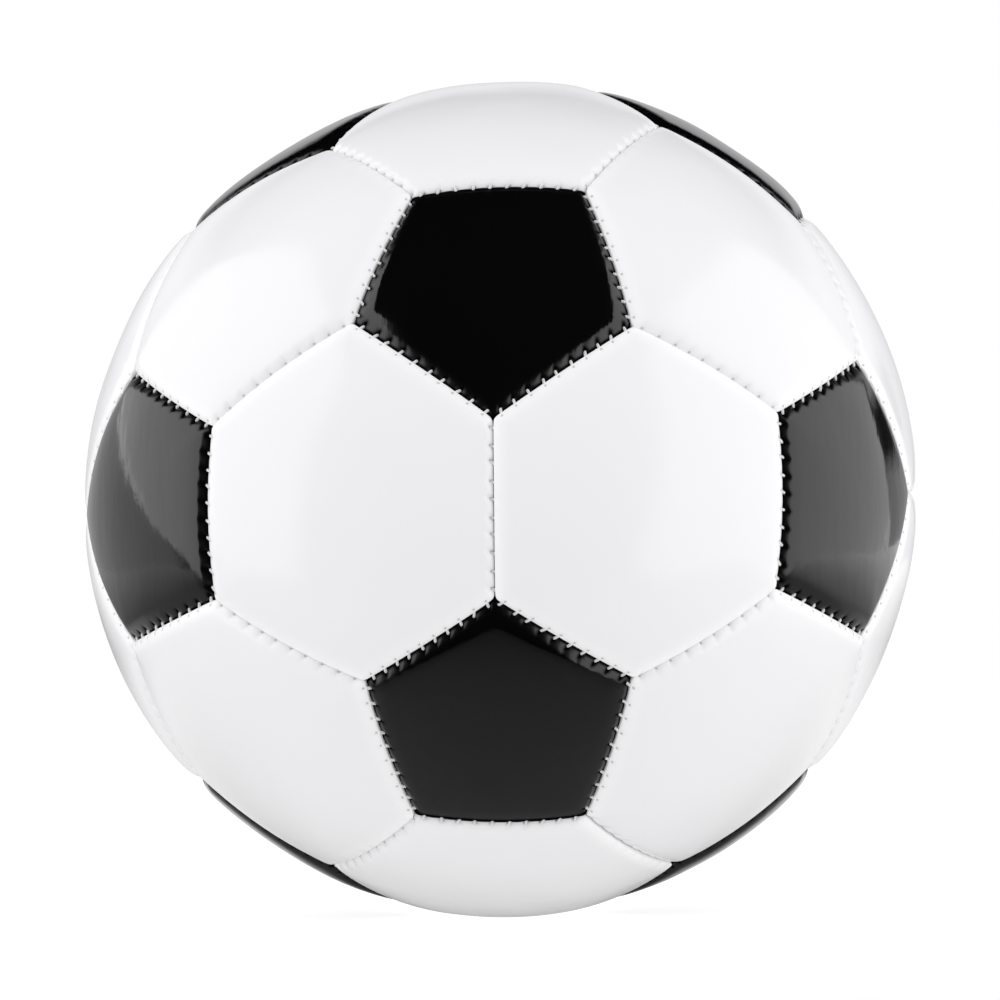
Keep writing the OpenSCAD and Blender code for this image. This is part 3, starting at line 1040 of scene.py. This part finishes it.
# The colour for seams and needle holes is painted shade on white and a faint brown tint on black; the colour
# for prouder edges is painted light
WHITE = {
    "light": (0.885, 0.885, 0.893), "dark": (0.865, 0.865, 0.874), "stain_and_shade": (0.3, 0.26, 0.23),
    "painted_rim_light": (0.97, 0.97, 0.975), "hole": 0.8, "rough": (0.13, 0.2), "ior": 1.5, "wrinkle": 0.00003,
    "gloss": {},
}
BLACK = {
    "light": (0.0026, 0.0026, 0.0031), "dark": (0.0014, 0.0014, 0.0017), "stain_and_shade": (0.012, 0.011, 0.01),
    "painted_rim_light": (0.003, 0.003, 0.0035), "hole": 0.3, "rough": (0.07, 0.13), "ior": 1.71,
    "wrinkle": 0.00007,
    "gloss": {
        "seam_mm": (0.3, 0.7, 0.0, 0.5), "crease": (0.15, 0.6, 0.5, 0.0), "proud": (0.1, 0.5, 0.5, 0.0),
    },
}


def wrinkles(tree):
    """Long fine creases: noise on Object coordinates, turned, and drawn out along one direction."""
    at = add(tree, "TexCoord", {})["Object"]
    at = add(tree, "Mapping", {"Vector": at, "Rotation": WRINKLE_TURN, "Scale": WRINKLE_SCALE})["Vector"]
    return add(tree, "TexNoise", {"Vector": at, "Scale": 1.0, "Detail": WRINKLE_DETAIL})["Fac"]


def skin_material(name, finish):
    """Coated vinyl: tone from slow noise, painted shade at needle holes and seams, painted light on prouder
    edges, gloss that varies a little.
    """
    material, tree, shader = new_material(name)
    tone = tint(tree, noise(tree, **TONE_NOISE), finish["dark"], finish["light"])
    # Painted shade in the bottom of each seam (on black, a faint brown tint)
    tone = tint(tree, spread(tree, carried(tree, "seam_mm"), *SEAM_SHADE), tone, finish["stain_and_shade"])
    # Painted light: a prouder edge is painted lighter, where its rolled edge would catch the light
    tone = tint(tree, carried(tree, "proud"), tone, finish["painted_rim_light"])
    # Painted shade in and round the needle holes (on black, a faint brown tint)
    hole_shade = spread(tree, carried(tree, "needle"), *HOLE_BAND, 0.0, finish["hole"])
    tone = tint(tree, hole_shade, tone, finish["stain_and_shade"])
    crown_rough = spread(tree, noise(tree, **ROUGH_NOISE), *MIDDLE, *finish["rough"])
    edge_rough = spread(tree, carried(tree, "seam_mm"), *EDGE_ROUGH)
    rough = combine(tree, "MAXIMUM", crown_rough, edge_rough)
    feed(tree, shader, {"Base Color": tone, "Roughness": rough, "IOR": finish["ior"]})
    levels = [spread(tree, carried(tree, label), *numbers) for label, numbers in finish["gloss"].items()]
    if levels:
        feed(tree, shader, {"Specular IOR Level": combine(tree, "MINIMUM", *levels)})
    ripple = (noise(tree, **RIPPLE_NOISE), RIPPLE_DEEP, RIPPLE_STRENGTH)
    bump(tree, shader, ripple, (wrinkles(tree), finish["wrinkle"], WRINKLE_STRENGTH))
    return material


for start, name, finish in (("white", "white_vinyl", WHITE), ("black", "black_vinyl", BLACK)):
    wear([piece for panel, piece in covers.items() if panel.startswith(start)], skin_material(name, finish))

# %% [markdown]
# Thread finish
#
# Sewing thread is two bundles of fibre twisted together: matt and a little fuzzy. Its crowns of the twist
# are painted lighter and the grooves between them darker, as painted light and shade. Each fibre could be a
# curve, but at this size slanting bands on the bar's UV map are enough.

# %% Thread material
TWIST_BANDS = 3.0
TWIST_FUZZ = 1.5
# The dark and light fibre colours are painted shade between the strands and painted light on their crowns
FIBRE_SHADE = (0.78, 0.77, 0.75)
FIBRE_LIT = (0.92, 0.91, 0.89)
FIBRE_DEEP = 0.00006
FIBRE_STRENGTH = 0.6
FIBRE_ROUGH = 0.7
FIBRE_SHEEN = 0.25
thread_skin, tree, shader = new_material("sewing_thread")
fibre = bands(tree, "DIAGONAL", TWIST_BANDS, TWIST_FUZZ)
strand = tint(tree, fibre, FIBRE_SHADE, FIBRE_LIT)
feed(tree, shader, {"Base Color": strand, "Roughness": FIBRE_ROUGH, "Sheen Weight": FIBRE_SHEEN})
bump(tree, shader, (fibre, FIBRE_DEEP, FIBRE_STRENGTH))
wear(threads, thread_skin)

# %% [markdown]
# Inner finishes
#
# Foam is pale and full of small cells, the lining and the patch are plain weave, and the rubber of the
# bladder and the valve is dark and nearly matt. An image of cloth would have to be tiled; here the weave
# runs along two directions of the layer's own UV map, and the cells, the patch's threads and the rubber's
# mottle come from noise on Object coordinates.

# %% Foam, cloth and rubber
BAND_AT_ONE = 0.314
WEAVE_WOBBLE = 0.4
WEAVE_ROUGH = 0.85
WEAVE_DEEP = 0.0001
RELIEF_STRENGTH = 0.5
TONE_DETAIL = 5
ROUGH_DETAIL = 2
RELIEF_DETAIL = 3
RELIEF_FINER = 6
ROUGH_SPREAD = 0.1
LINING = {"light": (0.8, 0.77, 0.7), "dark": (0.55, 0.52, 0.46), "thread_mm": 0.5}
FOAM = {"light": (0.82, 0.8, 0.72), "dark": (0.7, 0.67, 0.58), "scale": 900, "rough": 0.8, "deep": 0.00008}
PATCH = {"light": (0.78, 0.75, 0.68), "dark": (0.6, 0.57, 0.5), "scale": 700, "rough": 0.8, "deep": 0.00006}
BLADDER = {
    "light": (0.03, 0.03, 0.032), "dark": (0.018, 0.018, 0.02),
    "scale": 150, "rough": 0.5, "deep": 0.00003,
}
VALVE = {
    "light": (0.025, 0.025, 0.026), "dark": (0.014, 0.014, 0.015),
    "scale": 220, "rough": 0.42, "deep": 0.00002,
}


def weave_material(name, light, dark, thread_mm):
    """Plain weave: two crossed waves of the layer's UV map, the greater one on top."""
    material, tree, shader = new_material(name)
    crossed = [bands(tree, way, BAND_AT_ONE / thread_mm, WEAVE_WOBBLE) for way in ("X", "Y")]
    cloth = combine(tree, "MAXIMUM", *crossed)
    feed(tree, shader, {"Base Color": tint(tree, cloth, dark, light), "Roughness": WEAVE_ROUGH})
    bump(tree, shader, (cloth, WEAVE_DEEP, RELIEF_STRENGTH))
    return material


def mottled_material(name, light, dark, scale, rough, deep):
    """A mottled solid: tone, roughness and a small relief from noise on Object coordinates."""
    material, tree, shader = new_material(name)
    tone = tint(tree, noise(tree, scale, TONE_DETAIL), dark, light)
    uneven = spread(tree, noise(tree, scale, ROUGH_DETAIL), *MIDDLE, rough, rough + ROUGH_SPREAD)
    feed(tree, shader, {"Base Color": tone, "Roughness": uneven})
    bump(tree, shader, (noise(tree, RELIEF_FINER * scale, RELIEF_DETAIL), deep, RELIEF_STRENGTH))
    return material


wear(linings, weave_material("lining_weave", **LINING))
for pieces, name, finish in (
    (pads, "soft_foam", FOAM),
    ([bladder], "bladder_rubber", BLADDER),
    ([patch], "patch_weave", PATCH),
    ([housing, plug], "valve_rubber", VALVE),
):
    wear(pieces, mottled_material(name, **finish))

# %% [markdown]
# The floor
#
# The ball stands on a lit white table. The camera sees the table nearly white, and its soft light reaches
# the underside of the ball, while the ball's own shadow stays on it. A plain square would do, but the
# glossy panels mirror its edge, so the table has rounded corners. Mirror rays see it glow beside the lit
# walls and close behind the ball's foot and dark elsewhere, as the black panels show it. The front of the
# table is painted dark, as painted shade where no light falls on it, and the glow that the camera sees rises
# there so that it stays white. From here on lengths are in metres.

# %% Floor
FLOOR_HALF_X = 0.4
FLOOR_HALF_Y = 0.55
FLOOR_BACK = 0.38
FLOOR_SQUARE = 2 / 3
FLOOR_SIDES = 96
FLOOR_GREY = (0.29, 0.29, 0.29)
# The table's front is painted dark, as painted shade where no light falls on it
FLOOR_FRONT_SHADE = (0.01, 0.01, 0.01)
FLOOR_ROUGH = 0.9
FLOOR_GLOSS = 0.1
FRONT_SHADE_RANGE = (-0.19, -0.06, 1.0, 0.0)
SEEN_GLOW = (0.0, 1.0, 0.88, 0.98)
TABLE_GLOW = (0.0, 1.0, 0.0, 0.72)
RIGHT_GLOW = (0.15, 0.4, 0.0, 1.1)
LEFT_GLOW = (-0.44, -0.2, 0.5, 0.0)
BESIDE_FOOT = (0.01, 0.03, 0.55, 0.0)
BEHIND_FOOT = (0.0, 0.05, 0.0, 1.0)


def table_edge():
    """A superellipse: cosine and sine, each to a power below one with its sign kept, square the corners."""
    angle = full_turn(FLOOR_SIDES)
    across, back = np.cos(angle), np.sin(angle)
    x = FLOOR_HALF_X * np.sign(across) * np.abs(across) ** FLOOR_SQUARE
    y = FLOOR_HALF_Y * np.sign(back) * np.abs(back) ** FLOOR_SQUARE
    return np.column_stack([x, y + FLOOR_BACK, np.full(FLOOR_SIDES, cad_low.z)])


floor_mesh = bpy.data.meshes.new("floor")
floor_mesh.from_pydata(table_edge().tolist(), [], [list(range(FLOOR_SIDES))])
floor = in_scene("floor", floor_mesh)
floor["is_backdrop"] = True
floor_skin, tree, shader = new_material("floor_white")
path = add(tree, "LightPath", {})
axes = add(tree, "SeparateXYZ", {"Vector": add(tree, "TexCoord", {})["Object"]})
# Painted shade: a share that grows toward the table's front, where its colour is painted dark and the
# camera's glow is raised
front_shade = spread(tree, axes["Y"], *FRONT_SHADE_RANGE)
straight = combine(tree, "MAXIMUM", path["Is Camera Ray"], path["Is Transmission Ray"])
seen_part = combine(tree, "MULTIPLY", straight, spread(tree, front_shade, *SEEN_GLOW))
table_part = spread(tree, path["Is Diffuse Ray"], *TABLE_GLOW)
beside_foot = spread(tree, combine(tree, "MULTIPLY", axes["X"], axes["X"]), *BESIDE_FOOT)
round_foot = combine(tree, "MULTIPLY", beside_foot, spread(tree, axes["Y"], *BEHIND_FOOT))
walls = [spread(tree, axes["X"], *numbers) for numbers in (RIGHT_GLOW, LEFT_GLOW)]
mirror_part = combine(tree, "MULTIPLY", path["Is Glossy Ray"], combine(tree, "ADD", *walls, round_foot))
feed(tree, shader, {
    "Base Color": tint(tree, front_shade, FLOOR_GREY, FLOOR_FRONT_SHADE),
    "Roughness": FLOOR_ROUGH,
    "Specular IOR Level": FLOOR_GLOSS,
    "Emission Color": (1, 1, 1, 1),
    "Emission Strength": combine(tree, "ADD", seen_part, table_part, mirror_part),
})
wear([floor], floor_skin)

# %% [markdown]
# Soft boxes
#
# Two lit walls show on the glossy panels as large bright shapes with straight edges, and those edges tell
# where the walls stood: beside the ball, near the floor, leaning a little outward, the left one rolled in
# its own plane. Each is an area lamp, so its edges show as they are; a mesh that glows would be noisier.

# %% Soft boxes
BOX_LEAN = math.radians(19)
BOX_TALL = 1.0
BOX_FRONT_Y = -0.5
LEFT_BOX = {"side": -1, "foot": 0.4, "back": 0.36, "roll": math.radians(-24), "lift": 0.03}
RIGHT_BOX = {"side": 1, "foot": 0.36, "back": 0.335, "roll": 0.0, "lift": -0.12}
LEFT_BRIGHT = 1.19
RIGHT_BRIGHT = 1.13


def box_stand(side, foot, back, roll, lift):
    """Place of a soft box: its middle and its two directions, backward and up, rolled in its plane."""
    up = np.array([side * math.sin(BOX_LEAN), 0, math.cos(BOX_LEAN)])
    level = np.array([0.0, 1.0, 0.0])
    middle = np.array([side * foot, (back + BOX_FRONT_Y) / 2, cad_low.z + lift]) + up * BOX_TALL / 2
    backward = level * math.cos(roll) - up * math.sin(roll)
    upward = up * math.cos(roll) + level * math.sin(roll)
    return middle, backward, upward


def soft_box(name, stand, bright):
    """A flat lamp beside the ball: its power is brightness times pi times area."""
    lamp = bpy.data.lights.new(name, "AREA")
    lamp.shape = "RECTANGLE"
    lamp.size = stand["back"] - BOX_FRONT_Y
    lamp.size_y = BOX_TALL
    lamp.energy = bright * math.pi * lamp.size * lamp.size_y
    box = in_scene(name, lamp)
    middle, backward, upward = box_stand(**stand)
    across = backward * stand["side"]
    turn = np.eye(4)
    turn[:3, :3] = np.column_stack([across, upward, np.cross(across, upward)])
    turn[:3, 3] = middle
    box.matrix_world = Matrix(turn.tolist())
    return box


boxes = [soft_box("left_box", LEFT_BOX, LEFT_BRIGHT), soft_box("right_box", RIGHT_BOX, RIGHT_BRIGHT)]
print("soft boxes:", [box.name for box in boxes])

# %% [markdown]
# The tent
#
# The picture was taken in a white tent: lit walls left and right, a white ground behind, and a dark room on
# the camera's side and overhead, which the black panels mirror. The world could be one even white, but then
# the black panels would be grey all over. So it gives an even light, shows the camera a white ground, and
# shows mirror rays the backdrop with its dark gaps. A lamp lets rays through to what is behind it, so the
# backdrop is dark behind both boxes. The left box's edges are sighted for this from a spot on the black
# panel that mirrors it, and beside the right box a short gap makes the dark wedge on the right panel.

# %% World helpers
EDGE_SOFT = 0.02
# A spot on the left black panel
MIRROR_SPOT = np.array([-0.0612, -0.0367, -0.0036])


def past_edge(tree, start, end):
    """Share of a direction that passes outside an edge of the left box, seen from its panel: 0 inside."""
    across = unit(np.cross(start - MIRROR_SPOT, end - MIRROR_SPOT))
    toward = add(tree, "TexCoord", {})["Generated"]
    outside = add(tree, "VectorMath", {0: toward, 1: across}, operation="DOT_PRODUCT")["Value"]
    return spread(tree, outside, -EDGE_SOFT, EDGE_SOFT, 0.0, 1.0)


def glow(tree, colour, strength):
    """A background of one colour, its strength a link or a number."""
    return add(tree, "Background", {"Color": (*colour, 1), "Strength": strength})["Background"]


def choose(tree, share, under, over):
    """One shader where the share is 0, another where it is 1."""
    return add(tree, "MixShader", {0: share, 1: under, 2: over})["Shader"]


print(f"left box sighted from {np.linalg.norm(MIRROR_SPOT) / MM:.1f} mm off the centre")

# %% World light
BACKDROP = (0.98, 0.98, 1.0)
FILL = (0.985, 0.985, 1.0)
GROUND = (1, 1, 1)
# The axis along which a direction is measured, and the range that its number is carried through
DIRECTIONS = {
    "behind": ("Y", -0.05, 0.2, 0.0, 1.0),
    "under_top": ("Z", 0.38, 0.52, 1.0, 0.0),
    "rising": ("Z", 0.0, 0.5, 0.55, 0.9),
    "beside_gap": ("X", 0.46, 0.52, 1.0, 0.02),
    "under_gap": ("Z", 0.03, 0.07, 1.0, 0.0),
    "over_gap": ("Z", 0.15, 0.19, 0.0, 1.0),
    "beside_box": ("X", 0.68, 0.72, 1.0, 0.0),
    "from_front": ("Y", -1, 0, 0.92, 0.04),
    "from_top": ("Z", 0, 1, 0.0, 0.72),
    "from_back": ("Y", 0.5, 1, 0.0, 0.15),
    "from_left": ("X", -1, 1, 1.05, 0.95),
}
world = bpy.data.worlds.new("tent")
bpy.context.scene.world = world
world.use_nodes = True
world.cycles.sampling_method = "NONE"
tree = world.node_tree
tree.nodes.clear()
path = add(tree, "LightPath", {})
axes = add(tree, "SeparateXYZ", {"Vector": add(tree, "TexCoord", {})["Generated"]})
light = {name: spread(tree, axes[axis], *numbers) for name, (axis, *numbers) in DIRECTIONS.items()}

around_gap = combine(tree, "MAXIMUM", light["under_gap"], light["over_gap"])
around_gap = combine(tree, "MULTIPLY", around_gap, light["beside_box"])
right_part = combine(tree, "MAXIMUM", light["beside_gap"], around_gap)
middle, backward, upward = box_stand(**LEFT_BOX)
half_long = backward * (LEFT_BOX["back"] - BOX_FRONT_Y) / 2
half_tall = upward * BOX_TALL / 2
low_back = middle + half_long - half_tall
under_left = past_edge(tree, middle - half_long - half_tall, low_back)
behind_left = past_edge(tree, low_back, middle + half_long + half_tall)
left_part = combine(tree, "MAXIMUM", under_left, behind_left)
open_part = combine(tree, "MULTIPLY", light["behind"], light["under_top"], right_part, left_part)
mirrored = glow(tree, BACKDROP, combine(tree, "MULTIPLY", open_part, light["rising"]))

even_light = combine(tree, "ADD", light["from_front"], light["from_top"], light["from_back"])
fill = glow(tree, FILL, combine(tree, "MULTIPLY", even_light, light["from_left"]))
straight = combine(tree, "MAXIMUM", path["Is Camera Ray"], path["Is Transmission Ray"])
surround = choose(tree, path["Is Glossy Ray"], fill, mirrored)
surround = choose(tree, straight, surround, glow(tree, GROUND, 1.0))
add(tree, "OutputWorld", {"Surface": surround})
print(f"world {world.name}: {len(DIRECTIONS)} ranges of direction")

# %% [markdown]
# Sizes
#
# Looks must not change how big the ball is. The box round the dressed ball is set beside the box of the
# imported model, which was kept at the start, and how much it grows along each axis is printed. Measuring in
# the viewport would show the same.

# %% Sizes and finish
visual_low, visual_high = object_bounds()
growth = (np.array(visual_high - visual_low) - np.array(cad_high - cad_low)) / MM
print("box grows by", growth.round(2), "mm")
